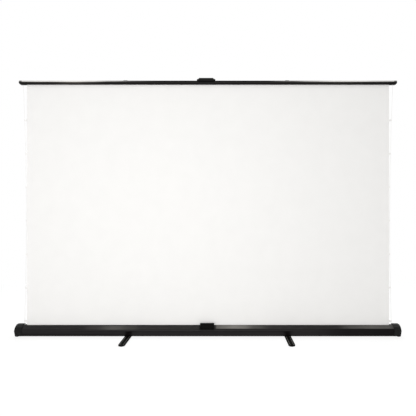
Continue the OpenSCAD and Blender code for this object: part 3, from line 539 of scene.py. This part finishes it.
# Node, name of the piece, and width of its rounds in millimetres
ROUNDED = [
    ("case_profile", "case_extrusion", 0.0),
    ("top_bar", "bar_extrusion", 0.0),
    ("case_end_cap_left", "case_cap_moulding_left", 0.7),
    ("case_end_cap_right", "case_cap_moulding_right", 0.7),
    ("bar_end_cap_left", "bar_cap_moulding_left", 0.8),
    ("bar_end_cap_right", "bar_cap_moulding_right", 0.8),
    ("handle", "handle_moulding", 0.8),
    ("bracket_covers", "bracket_cover_mouldings", 0.4),
    ("latch_base", "latch_base_moulding", 0.4),
    ("latch_catch", "press_catch_moulding", 0.4),
    ("foot_left", "turning_foot_left", 1.1),
    ("foot_right", "turning_foot_right", 1.1),
    ("foot_pads_left", "rubber_pads_left", 0.5),
    ("foot_pads_right", "rubber_pads_right", 0.5),
    ("foot_bolts", "foot_bolt_heads", 0.5),
    ("foot_washers", "foot_washer_rings", 0.15),
    ("lower_arm_a", "lower_arm_front", 0.4),
    ("lower_arm_b", "lower_arm_rear", 0.4),
    ("upper_arm_a", "upper_arm_front", 0.4),
    ("upper_arm_b", "upper_arm_rear", 0.4),
    ("lower_cross_pin", "lower_cross_rivet", 0.5),
    ("upper_cross_pin", "upper_cross_rivet", 0.5),
    ("elbow_pin_left", "elbow_rivet_left", 0.5),
    ("elbow_pin_right", "elbow_rivet_right", 0.5),
    ("lower_pivot_pin", "lower_pivot_rivet", 0.5),
    ("upper_pivot_pin", "upper_pivot_rivet", 0.5),
    ("lower_slider_pin", "lower_slider_rivet", 0.5),
    ("upper_slider_pin", "upper_slider_rivet", 0.5),
    ("lower_pivot_bracket", "lower_pivot_fork", 0.3),
    ("upper_pivot_bracket", "upper_pivot_fork", 0.3),
    ("lower_slider", "lower_slider_block", 0.5),
    ("upper_slider", "upper_slider_block", 0.4),
    ("slider_stop", "slider_stop_block", 0.5),
]
for node, name, width in ROUNDED:
    finished_copy(node, name, width * MM)


# Cloth and edge tension, at the places and sizes of the CAD nodes
cloth_low, cloth_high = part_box("screen_cloth")
bar_low, bar_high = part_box("top_bar")
CLOTH_HALF = cloth_high.x
# The rippled cloth hangs this far behind the middle of the flat one
SET_BACK = 0.3 * MM
CLOTH_Y = ((cloth_low + cloth_high) / 2).y + SET_BACK
CLOTH_LOW, CLOTH_TOP = cloth_low.z, cloth_high.z
CLOTH_THICK = 0.4 * MM
BAR_RAISED, BAR_TOP = bar_low.z, bar_high.z

TAB_LOWEST, TAB_PITCH, TABS_A_SIDE = 97.4 * MM, 207.2 * MM, 7
TAB_HEIGHTS = [TAB_LOWEST + TAB_PITCH * i for i in range(TABS_A_SIDE)]
# Half the height of a tab on the tape, at the cloth's edge and round the cord
TAB_HALF, TAB_SHOULDER, TAB_NECK = 9 * MM, 7 * MM, 5 * MM

# The cloth's ripple: how deep it is and how far in it reaches at the edges, the depth and the pace of the
# slow waves over all of it, and the height over which it dies out at the bottom and at the top
EDGE_RIPPLE, EDGE_REACH = 0.5 * MM, 45 * MM
SLOW_RIPPLE, SLOW_ACROSS, SLOW_UP = 0.35 * MM, 2.1, 2.6
STILL_LOW, STILL_TOP = 60 * MM, 30 * MM


def wind_down(piece):
    """Gives the piece a mesh of its own."""
    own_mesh(piece)


def cloth_ripple(x, z):
    """How far the cloth stands off its plane: nearly flat, drawn back a little between the tabs."""
    at_edge = math.exp(-(CLOTH_HALF - abs(x)) / EDGE_REACH)
    between_tabs = 0.5 - 0.5 * math.cos(math.tau * (z - TAB_LOWEST) / TAB_PITCH)
    ends = min(1.0, (z - CLOTH_LOW) / STILL_LOW, (CLOTH_TOP - z) / STILL_TOP)
    slow = math.sin(x * SLOW_ACROSS + 0.6) * math.sin(z * SLOW_UP + 0.3)
    return max(0.0, ends) * (EDGE_RIPPLE * at_edge * between_tabs + SLOW_RIPPLE * slow)


def hung_sheet(columns, rows, width, x, y):
    """A rippled sheet from the roller to the hem rod, as a grid of so many cells."""
    bpy.ops.mesh.primitive_grid_add(x_subdivisions=columns, y_subdivisions=rows, size=1,
                                    rotation=(math.radians(90), 0, 0))
    hung = bpy.context.active_object
    hung.scale = (width, CLOTH_TOP - CLOTH_LOW, 1)
    hung.location = (x, y, (CLOTH_TOP + CLOTH_LOW) / 2)
    place_in_mesh(hung)
    for vertex in hung.data.vertices:
        vertex.co.y += cloth_ripple(vertex.co.x, vertex.co.z)
    thicken(hung, CLOTH_THICK)
    smooth(hung)
    return hung


cloth = hung_sheet(150, 112, 2 * CLOTH_HALF, 0, CLOTH_Y)
settle(cloth, "projection_cloth", "case", "screen_cloth")

# The tapes lie on the back of the cloth's edges
TAPE_WIDTH = 18 * MM
TAPE_BEHIND = 0.42 * MM
tapes = joined([hung_sheet(6, 150, TAPE_WIDTH, side * (CLOTH_HALF - TAPE_WIDTH / 2), CLOTH_Y + TAPE_BEHIND)
                for side in (-1, 1)])
settle(tapes, "edge_tapes", "case", "edge_strips")

# The tension cord's distance from the cloth's edge at the middle tab, and how much farther out it runs
# at the bar and at the roller
CORD_OUT, CORD_OUT_TOP, CORD_OUT_LOW = 4 * MM, 18.5 * MM, 11.5 * MM
# The cord goes straight up from its spool to the slot of the case, and straight up from just under the
# bar to its crimp
SPOOL_X, SLOT_Z = 1133 * MM, 76.5 * MM
CRIMP_X, BAR_ENTRY = 1144 * MM, BAR_RAISED - 3 * MM
# Half the straight stretch of cord in each tab
CORD_IN_TAB = 6 * MM


def cord_x(z):
    """Distance of the tension cord from the middle of the screen: drawn in towards the middle tab."""
    middle = TAB_HEIGHTS[3]
    if z > middle:
        outwards = CORD_OUT_TOP * ((z - middle) / (CLOTH_TOP - middle)) ** 2
    else:
        outwards = CORD_OUT_LOW * ((middle - z) / (middle - CLOTH_LOW)) ** 2
    return CLOTH_HALF + CORD_OUT + outwards


CORD_ROUTE = [(SPOOL_X, CLOTH_LOW), (SPOOL_X, SLOT_Z)]
for height in TAB_HEIGHTS:
    CORD_ROUTE += [(cord_x(height), height - CORD_IN_TAB), (cord_x(height), height + CORD_IN_TAB)]
CORD_ROUTE += [(CRIMP_X, BAR_ENTRY), (CRIMP_X, CLOTH_TOP)]

# A tab's strap: its plane behind the cloth, its thickness, and the rounding of its edges. Its wide end
# lies on the tape between two distances from the cloth's edge.
STRAP_Y, STRAP_THICK, STRAP_ROUND = 5.1 * MM, 0.55 * MM, 0.12 * MM
STRAP_FROM, STRAP_TO = 24 * MM, 10 * MM
# The loop round the cord: its radius, where it begins and ends in degrees, and its steps
LOOP_RADIUS, LOOP_START, LOOP_END, LOOP_STEPS = 1.95 * MM, 115, -170, 12


def tab_loop(height):
    """One tab: a strap on the tape that folds round the cord and is welded back on itself."""
    reach = cord_x(height)
    line = [(CLOTH_HALF - STRAP_FROM, STRAP_Y), (CLOTH_HALF - STRAP_TO, STRAP_Y), (CLOTH_HALF, STRAP_Y),
            (reach - 3.2 * MM, STRAP_Y + 0.1 * MM), (reach - 1.6 * MM, STRAP_Y + 0.4 * MM)]
    for step in range(LOOP_STEPS + 1):
        turn = math.radians(LOOP_START + (LOOP_END - LOOP_START) * step / LOOP_STEPS)
        line.append((reach + LOOP_RADIUS * math.cos(turn), CLOTH_Y + LOOP_RADIUS * math.sin(turn)))
    line.append((reach - 3.0 * MM, STRAP_Y - 0.6 * MM))
    halves = [TAB_HALF, TAB_HALF, TAB_SHOULDER] + [TAB_NECK] * (len(line) - 3)
    points = [(x, y, height + rise) for (x, y), half in zip(line, halves) for rise in (-half, 0, half)]
    faces = []
    for a in range(0, len(points) - 3, 3):
        faces += [(a, a + 3, a + 4, a + 1), (a + 1, a + 4, a + 5, a + 2)]
    loop = from_points("tab", points, faces)
    face_outwards(loop)
    thicken(loop, STRAP_THICK)
    round_edges(loop, STRAP_ROUND, 1)
    smooth(loop)
    return loop


tabs_right = joined([tab_loop(height) for height in TAB_HEIGHTS])
tabs_left = mirrored_copy(tabs_right, "tabs")
settle(tabs_right, "tension_tabs_right", "case", "edge_tabs_right")
settle(tabs_left, "tension_tabs_left", "case", "edge_tabs_left")

# The laid cord: the sides of its section, the radius between its strands and what a strand adds, the
# distance between stations along it, and the length of one turn of the strands
LOBE_SIDES, LOBE_RADIUS, LOBE_RISE = 12, 0.82 * MM, 0.17 * MM
STATION, LAY = 2.5 * MM, 14 * MM


def lobed_section():
    """The section of three strands laid together."""
    lobe = bpy.data.curves.new("lobe", "CURVE")
    lobe.dimensions = "2D"
    outline = lobe.splines.new("POLY")
    outline.points.add(LOBE_SIDES - 1)
    for i, point in enumerate(outline.points):
        around = math.tau * i / LOBE_SIDES
        radius = LOBE_RADIUS + LOBE_RISE * abs(math.cos(1.5 * around))
        point.co = (radius * math.cos(around), radius * math.sin(around), 0, 1)
    outline.use_cyclic_u = True
    return in_scene("lobe", lobe)


def twisted_cord(side):
    """Three strands laid together: a lobed section that turns as it follows the cord's route."""
    stations, run = [], 0.0
    for (x0, z0), (x1, z1) in zip(CORD_ROUTE, CORD_ROUTE[1:]):
        length = math.hypot(x1 - x0, z1 - z0)
        count = max(1, round(length / STATION))
        for i in range(count):
            share = i / count
            stations.append((x0 + share * (x1 - x0), z0 + share * (z1 - z0), run + share * length))
        run += length
    stations.append((*CORD_ROUTE[-1], run))
    path, line = straight_curve("cord", len(stations))
    for point, (x, z, along) in zip(line.points, stations):
        point.co = (side * x, CLOTH_Y, z, 1)
        point.tilt = side * math.tau * along / LAY
    section = lobed_section()
    path.bevel_mode = "OBJECT"
    path.bevel_object = section
    rope = swept("cord", path)
    bpy.data.objects.remove(section)
    return rope


for side, word in ((-1, "left"), (1, "right")):
    settle(twisted_cord(side), "laid_cord_" + word, "case", "tension_cord_" + word)

for piece_name in ("projection_cloth", "edge_tapes", "laid_cord_left", "laid_cord_right"):
    wind_down(bpy.data.objects[piece_name])
for piece_name in ("tension_tabs_left", "tension_tabs_right"):
    wind_down(bpy.data.objects[piece_name])


# The cloth left on the roller with the screen raised: a spiral of a few turns round the roller's axis,
# between two radii, with the distance from lap to lap and the thickness of one
ROLLER_Y, ROLLER_Z = -9 * MM, 36 * MM
ROLL_INNER, ROLL_OUTER, LAP, ROLL_THICK = 11.3 * MM, 12.25 * MM, 0.42 * MM, 0.36 * MM
STEPS_A_TURN, ROLL_COLUMNS = 48, 9
roll_turns = (ROLL_OUTER - ROLL_INNER) / LAP
roll_steps = round(STEPS_A_TURN * roll_turns)
roll_points, roll_faces = [], []
for i in range(roll_steps + 1):
    turned = math.tau * roll_turns * (1 - i / roll_steps)
    radius = ROLL_INNER + (ROLL_OUTER - ROLL_INNER) * i / roll_steps
    for j in range(ROLL_COLUMNS):
        x = CLOTH_HALF * (2 * j / (ROLL_COLUMNS - 1) - 1)
        roll_points.append((x, ROLLER_Y + radius * math.cos(turned), ROLLER_Z - radius * math.sin(turned)))
for i in range(roll_steps):
    for j in range(ROLL_COLUMNS - 1):
        a = i * ROLL_COLUMNS + j
        roll_faces.append((a, a + 1, a + ROLL_COLUMNS + 1, a + ROLL_COLUMNS))
wound = from_points("wound_cloth", roll_points, roll_faces)
face_outwards(wound)
thicken(wound, ROLL_THICK)
smooth(wound, 50)
settle(wound, "wound_cloth", "roller", "cloth_roll")


# Screws and springs
HEAD_SIDES, SOCKET_SIDES, SHANK_SIDES = 28, 6, 20
# The round of a screw's head and the lift of its socket by the head's height, and the socket's radius by
# the head's
HEAD_ROUND, SOCKET_LIFT, SOCKET_SHARE = 0.62, 0.95, 0.52


def cylinder(sides, radius, depth, middle):
    """A cylinder along Z with its middle at this height."""
    bpy.ops.mesh.primitive_cylinder_add(vertices=sides, radius=radius, depth=depth, location=(0, 0, middle))
    made = bpy.context.active_object
    place_in_mesh(made)
    return made


def socket_screw(head_radius, head_height, shank_radius, shank_length):
    """A button-head screw along +Z, its head's underside at the origin, with a hexagonal socket."""
    head = cylinder(HEAD_SIDES, head_radius, head_height, head_height / 2)
    choose_faces(head, lambda normal: normal.z > 0.9)
    in_edit(head, lambda: bpy.ops.mesh.bevel(offset=head_height * HEAD_ROUND, segments=4, affect="EDGES"))
    socket = cylinder(SOCKET_SIDES, head_radius * SOCKET_SHARE, head_height, head_height * SOCKET_LIFT)
    cut = head.modifiers.new("socket", "BOOLEAN")
    cut.operation = "DIFFERENCE"
    cut.object = socket
    apply_modifiers(head)
    bpy.data.objects.remove(socket)
    shank = cylinder(SHANK_SIDES, shank_radius, shank_length, -shank_length / 2)
    screw = joined([head, shank])
    smooth(screw, 35)
    return screw


def screw_set(pattern, spots, facings, name, body, node):
    """Copies of one screw at the spots, each turned as its facing says."""
    copies = []
    for spot, facing in zip(spots, facings):
        copy = in_scene(name, pattern.data.copy())
        copy.rotation_euler = facing
        copy.location = spot
        place_in_mesh(copy)
        copies.append(copy)
    bpy.data.objects.remove(pattern)
    settle(joined(copies), name, body, node)


# Screws of the case's end caps: their Y and Z, the X that their heads lie on, and the sizes of a screw
CAP_PORTS = [(8.5 * MM, 13.8 * MM), (-4.6 * MM, 66.4 * MM), (35.0 * MM, 66.0 * MM)]
CAP_FACE = 1182 * MM
CAP_SCREW = (3.4 * MM, 2.4 * MM, 1.5 * MM, 25 * MM)
cap_spots = [(side * CAP_FACE, y, z) for side in (-1, 1) for y, z in CAP_PORTS]
cap_facings = [(0, math.radians(90) * side, 0) for side in (-1, 1) for _ in CAP_PORTS]
screw_set(socket_screw(*CAP_SCREW), cap_spots, cap_facings, "cap_socket_screws", "case",
          "end_cap_screws")

SMALL_HEAD_RADIUS, SMALL_HEAD_HEIGHT, SMALL_SHANK = 3.6 * MM, 2.2 * MM, 2 * MM
# Each cover has a second screw this far in from its first
COVER_STEP = 16 * MM


def small_screw_set(node, name, steps_in):
    """The screws of the handle or the covers: at the ends of the node's box, and steps in from them."""
    low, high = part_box(node)
    under_head = high.z - SMALL_HEAD_HEIGHT
    spots = [(x, (low.y + high.y) / 2, under_head) for step in steps_in
             for x in (low.x + SMALL_HEAD_RADIUS + step, high.x - SMALL_HEAD_RADIUS - step)]
    pattern = socket_screw(SMALL_HEAD_RADIUS, SMALL_HEAD_HEIGHT, SMALL_SHANK, under_head - BAR_TOP)
    screw_set(pattern, spots, [(0, 0, 0)] * len(spots), name, "top_bar", node)


small_screw_set("cover_screws", "cover_socket_screws", (0, COVER_STEP))
small_screw_set("handle_screws", "handle_socket_screws", (0,))

STEPS_A_COIL = 14


def coil(name, start, end, centre_y, centre_z, radius, wire, pitch, body, node):
    """A torsion spring along X: round wire wound round its axis, with the wire's ends capped."""
    turns = (end - start) / pitch
    steps = round(turns * STEPS_A_COIL)
    path, line = straight_curve(name, steps + 1)
    path.bevel_depth = wire / 2
    path.bevel_resolution = 1
    for i, point in enumerate(line.points):
        around = math.tau * turns * i / steps
        point.co = (start + (end - start) * i / steps, centre_y + radius * math.cos(around),
                    centre_z + radius * math.sin(around), 1)
    settle(swept(name, path), name, body, node)


coil("roller_spring_coil", start=-1094.2 * MM, end=-836.2 * MM, centre_y=ROLLER_Y, centre_z=ROLLER_Z,
     radius=5.3 * MM, wire=1.9 * MM, pitch=2.4 * MM, body="case", node="roller_spring")
latch_low, latch_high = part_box("latch_spring")
coil("latch_spring_coil", start=latch_low.x + 0.6 * MM, end=latch_high.x - 0.6 * MM, centre_y=-22 * MM,
     centre_z=66.2 * MM, radius=2.35 * MM, wire=1.0 * MM, pitch=1.3 * MM, body="case", node="latch_spring")


# Floor, world and lamps
WHITE = linear("#ffffff")
FLOOR_SIZE = 30
# Near the screen the floor takes soft shadows under a lift of light. Farther out it is plain white.
FLOOR_LIFT = 0.86
FLOOR_NEAR, FLOOR_FAR = 1.6, 3.0
SKY_LIGHT = 0.55


def by_ray(tree, seen, lit):
    """One shader for what the camera, gloss and glass see, and another for the light that it gives."""
    rays = add(tree, "ShaderNodeLightPath").outputs
    some = add(tree, "ShaderNodeMath", {"operation": "ADD"},
               {0: rays["Is Camera Ray"], 1: rays["Is Glossy Ray"]})
    any_of = add(tree, "ShaderNodeMath", {"operation": "ADD", "use_clamp": True},
                 {0: some.outputs[0], 1: rays["Is Transmission Ray"]})
    return add(tree, "ShaderNodeMixShader", {}, {0: any_of.outputs[0], 1: lit, 2: seen}).outputs[0]


bpy.ops.mesh.primitive_plane_add(size=FLOOR_SIZE, location=(0, 0, 0))
floor = bpy.context.active_object
floor.name = "floor"
floor_finish = bpy.data.materials.new("pale_floor")
floor_finish.use_nodes = True
ground = floor_finish.node_tree
ground.nodes.remove(ground.nodes["Principled BSDF"])
floor_lit = add(ground, "ShaderNodeBsdfDiffuse", {"Color": linear("#f4f4f4")})
floor_shadow = add(ground, "ShaderNodeBsdfDiffuse", {"Color": linear("#7c7c7c")})
floor_lift = add(ground, "ShaderNodeEmission", {"Color": WHITE, "Strength": FLOOR_LIFT})
floor_near = add(ground, "ShaderNodeAddShader", {}, {0: floor_shadow.outputs[0], 1: floor_lift.outputs[0]})
floor_far = add(ground, "ShaderNodeEmission", {"Color": WHITE, "Strength": 1.0})
floor_place = add(ground, "ShaderNodeTexCoord").outputs["Object"]
floor_distance = add(ground, "ShaderNodeVectorMath", {"operation": "LENGTH"}, {0: floor_place})
floor_fade = add(ground, "ShaderNodeMapRange", {"From Min": FLOOR_NEAR, "From Max": FLOOR_FAR},
                 {"Value": floor_distance.outputs["Value"]})
floor_seen = add(ground, "ShaderNodeMixShader", {},
                 {0: floor_fade.outputs["Result"], 1: floor_near.outputs[0], 2: floor_far.outputs[0]})
ground.links.new(by_ray(ground, floor_seen.outputs[0], floor_lit.outputs[0]),
                 ground.nodes["Material Output"].inputs["Surface"])
floor.data.materials.append(floor_finish)

world = bpy.data.worlds.new("studio")
world.use_nodes = True
bpy.context.scene.world = world
sky = world.node_tree
sky_seen = add(sky, "ShaderNodeBackground", {"Color": WHITE, "Strength": 1.0})
sky_lit = add(sky, "ShaderNodeBackground", {"Color": WHITE, "Strength": SKY_LIGHT})
sky.links.new(by_ray(sky, sky_seen.outputs[0], sky_lit.outputs[0]),
              sky.nodes["World Output"].inputs["Surface"])


def softbox(name, location, target, size, power):
    """A lamp with an even rectangular face that looks at its target."""
    lamp_data = bpy.data.lights.new(name, "AREA")
    lamp_data.shape = "RECTANGLE"
    lamp_data.size, lamp_data.size_y = size
    lamp_data.energy = power
    lamp = in_scene(name, lamp_data)
    lamp.location = location
    lamp.rotation_euler = (Vector(target) - Vector(location)).to_track_quat("-Z", "Y").to_euler()


softbox("softbox_front", location=(-0.47, -3.2, 0.95), target=(-0.3, 0, 0.8), size=(1.9, 1.2), power=47.5)
softbox("softbox_back", location=(0.5, 3.4, 3.2), target=(0, 0, 0.8), size=(3.0, 1.4), power=50)

bpy.context.scene.view_settings.view_transform = "Standard"

bpy.context.view_layer.update()
